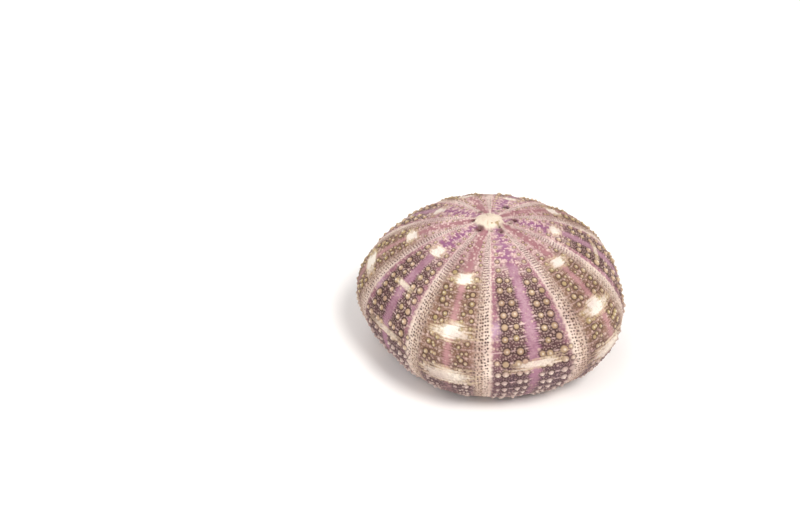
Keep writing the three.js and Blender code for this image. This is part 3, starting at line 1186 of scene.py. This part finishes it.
def skin_layers(shader, mark, mottle, speckle):
    """The layers over the ground: mark, strength, how much the mottle breaks it up, pigment. The comb-gap
    and boss-ring pigments are partly painted shade.
    """
    young = shader.mix(shader.spread(mottle, low=-1.1, high=2.2), YOUNG_CREAM, ROSE)
    stripe = shader.mix(shader.spread(mottle, low=-1.0, high=2.0), MAUVE, DEEP_MAUVE)
    stripe = shader.lay(MAGENTA, stripe, speckle, strength=0.5)
    stripe = shader.mix(mark["ambulacrum"], stripe, PINK)
    stripe = shader.mix(shader.times(mark["upper"], mark["ambulacrum"]), stripe, ROSE_BROWN)
    granule = shader.mix(mark["upper"], GRANULE_PINK, GRANULE_CREAM)
    granule = shader.mix(mark["low"], granule, GRANULE_DULL)
    porous = shader.lay(PORE_SPECKLE, PORE_CREAM, speckle, strength=0.5)
    porous = shader.lay(YOUNG_PORE_CREAM, porous, mark["upper"], strength=0.8)
    edge = shader.times(mark["stripe"], shader.minus(1.0, mark["stripe"]))
    pink_loss = shader.times(mark["ambulacrum"], PINK_EDGE_LOSS)
    edge = shader.times(edge, shader.minus(STRIPE_EDGE_STRENGTH, pink_loss))
    return (
        (mark["low"], 0.85, 0.3, GREY_LAVENDER),
        (mark["upper"], 0.9, 0.35, young),
        (mark["beside"], 0.8, 0.7, ROSE_FLUSH),
        (mark["stripe"], 1.0, 0.3, stripe),
        (edge, 0.9, 0.4, MAGENTA),
        (mark["lilac"], 0.75, 0.8, LILAC),
        (mark["pore_zone"], 1.0, 0.25, porous),
        (mark["zone_edge"], 0.8, 0.6, EDGE_CREAM),
        # rose-brown in the comb's grooves, partly painted shade
        (mark["comb_gap_tint_and_shade"], 0.85, 0.4, COMB_BROWN_SHADE),
        (mark["violet"], 0.85, 0.5, VIOLET),
        (mark["oral"], 0.8, 0.4, ORAL_CREAM),
        (mark["suture"], 0.9, 0.7, SEAM_PINK),
        (mark["granule"], 0.95, 0.3, granule),
        # dark rings around the bosses, partly painted shade, and painted shade in worn bosses' hollows
        (mark["shaded_halo"], 0.9, 0.3, HALO_SHADE_BROWN),
    )


def skin_colour(shader, mark, mottle, grain):
    """The ground, browner along an ambulacrum, with each layer laid over the last."""
    speckle = shader.ramp(grain, start=0.50, end=0.64)
    ground = shader.mix(shader.spread(mottle, low=-0.9, high=1.9), DUSKY_BROWN, DUSKY_PLUM)
    along = shader.mix(shader.spread(mottle, low=-0.9, high=1.9), KHAKI, KHAKI_PINK)
    colour = shader.mix(mark["ambulacrum"], ground, along)
    for where, strength, breakup, pigment in skin_layers(shader, mark, mottle, speckle):
        amount = shader.spread(mottle, strength - breakup, strength + breakup)
        colour = shader.mix(shader.times(where, amount, True), colour, pigment)
    return colour


def boss_colour(shader, mark):
    """The tint makes some bosses olive and others tan; more are olive along an ambulacrum."""
    olive = shader.times(mark["ambulacrum"], AMBULACRAL_OLIVE)
    olive = shader.plus(olive, shader.times(mark["tint"], TINT_OLIVE), True)
    bead = shader.mix(olive, BOSS_TAN, BOSS_OLIVE)
    bead = shader.lay(BOSS_PALE, bead, mark["low"], strength=0.9)
    # The ball is laid in near-white: partly its own pale colour, partly a painted highlight.
    return shader.lay(NIPPLE_CREAM_AND_HIGHLIGHT, bead, mark["nipple_and_highlight"], strength=0.75)


def with_bands_and_bosses(shader, mark, colour, mottle, grain):
    """Pale bands, the cap, and then the bosses, which fade in a band's core."""
    frayed = shader.plus(mark["growth_band"], shader.spread(grain, low=-0.7, high=0.5))
    frayed = shader.plus(frayed, shader.spread(mottle, low=-0.35, high=0.35))
    chalk = shader.mix(shader.ramp(mark["growth_band"], start=0.5, end=0.98), YELLOWED, CHALK)
    colour = shader.mix(shader.ramp(frayed, start=0.0, end=0.95), colour, chalk)
    colour = shader.lay(IVORY, colour, mark["apical"], strength=0.95)
    core = shader.ramp(mark["growth_band"], start=0.6, end=0.95)
    cover = shader.minus(BOSS_COVER, shader.times(core, CORE_COVER_LOSS))
    return shader.mix(shader.times(mark["boss"], cover), colour, boss_colour(shader, mark))


def urchin_material():
    """Pigment in layers, with painted shade in the pores, comb grooves and boss rings and a painted
    highlight on the bosses, each laid over the last through its own mark.
    """
    shader = Shader("urchin_test")
    mark = {name: shader.attribute(name) for name in MARKS}
    cloud = shader.noise(per_metre=95, detail=4)
    mottle = shader.noise(per_metre=420, detail=3)
    grain = shader.noise(per_metre=1500, detail=2)

    colour = skin_colour(shader, mark, mottle, grain)
    colour = with_bands_and_bosses(shader, mark, colour, mottle, grain)
    stain = shader.times(mark["stain"], shader.spread(mottle, low=0.2, high=1.7), True)
    colour = shader.mix(stain, colour, STAIN_PLUM)
    # Painted shade in the pores, the genital pores and the puncture.
    colour = shader.mix(mark["pore"], colour, PORE_SHADE)
    inside = shader.mix(shader.spread(cloud, low=-0.5, high=1.5), INNER_PEACH, INNER_ORANGE)
    inside = shader.lay(PORE_CREAM, inside, mark["pore_zone"], strength=0.35)
    colour = shader.mix(mark["inside"], colour, inside)
    worn = shader.mix(shader.ramp(cloud, start=0.3, end=0.7), WEAR_SHADE, WHITE)
    dusty = shader.mix(grain, WHITE, DUST_SHADE)
    colour = shader.mix(1.0, shader.mix(1.0, colour, worn, "MULTIPLY"), dusty, "MULTIPLY")
    shader.connect(colour, shader.surface.inputs["Base Color"])

    rough = shader.spread(mottle, low=0.60, high=0.80)
    rough = shader.minus(rough, shader.times(mark["boss"], BOSS_POLISH))
    shader.connect(rough, shader.surface.inputs["Roughness"])
    texture = shader.plus(grain, shader.times(mottle, BUMP_MOTTLE))
    normal = shader.bump(texture, distance=0.00015, strength=0.7)
    shader.connect(normal, shader.surface.inputs["Normal"])
    shader.surface.inputs["IOR"].default_value = SHELL_IOR
    return shader.material


def floor_material():
    shader = Shader("pale_floor")
    tone = shader.mix(shader.noise(per_metre=6), FLOOR_PALE, FLOOR_PALER)
    shader.connect(tone, shader.surface.inputs["Base Color"])
    rough = shader.spread(shader.noise(per_metre=40), low=0.75, high=0.85)
    shader.connect(rough, shader.surface.inputs["Roughness"])
    return shader.material


# ==== floor, lights and camera ====
FLOOR_HALF_SIZE = 3.0
FLOOR_SEGMENTS = 24
CAMERA_PLACE = (-0.0298, -0.3085, 0.2428)
CAMERA_PITCH = math.radians(55.35)
CAMERA_LENS = 50.0
CAMERA_SENSOR = 36.0
WORLD_STRENGTH = 0.48

# Name, place, size, watts and colour of each soft light, aimed at the test.
LIGHTS = (
    ("key", (0.50, -0.75, 1.25), 0.60, 18.0, (1.0, 1.0, 0.99)),
    ("fill", (-0.70, -0.70, 1.00), 1.00, 6.0, (0.99, 0.99, 1.0)),
    ("back", (-0.30, 1.10, 1.20), 0.80, 4.0, (1.0, 1.0, 1.0)),
)


def add_floor():
    mesh = bpy.data.meshes.new("floor")
    grid = bmesh.new()
    bmesh.ops.create_grid(grid, x_segments=FLOOR_SEGMENTS, y_segments=FLOOR_SEGMENTS, size=FLOOR_HALF_SIZE)
    grid.to_mesh(mesh)
    grid.free()
    floor = add_object("floor", mesh)
    floor.data.materials.append(floor_material())


def add_lights():
    low, high = CAD_BOUNDS
    target = [(start + end) / 2 for start, end in zip(low, high)]
    for name, place, size, watts, colour in LIGHTS:
        data = bpy.data.lights.new(name, "AREA")
        data.shape = "DISK"
        data.size = size
        data.energy = watts
        data.color = colour
        light = add_object(name, data)
        light.location = place
        light.rotation_euler = aimed(place, target)

    world = bpy.data.worlds.new("studio")
    world.use_nodes = True
    background = world.node_tree.nodes["Background"]
    background.inputs["Color"].default_value = (1.0, 1.0, 1.0, 1.0)
    background.inputs["Strength"].default_value = WORLD_STRENGTH
    bpy.context.scene.world = world


def aimed(place, target):
    """The rotation that points a light's -Z from place to target."""
    dx, dy, dz = (end - start for start, end in zip(place, target))
    level = math.hypot(dx, dy)
    return (math.atan2(level, -dz), 0.0, math.atan2(-dx, dy))


def add_camera():
    data = bpy.data.cameras.new("camera")
    data.lens = CAMERA_LENS
    data.sensor_width = CAMERA_SENSOR
    camera = add_object("camera", data)
    camera.location = CAMERA_PLACE
    camera.rotation_euler = (CAMERA_PITCH, 0.0, 0.0)
    bpy.context.scene.camera = camera


# ==== the scene ====
add_camera()
add_floor()
add_lights()
bpy.context.scene.view_settings.view_transform = "Standard"

test = build_test()
test.data.materials.append(urchin_material())
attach(test, "root")
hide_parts(NODE)
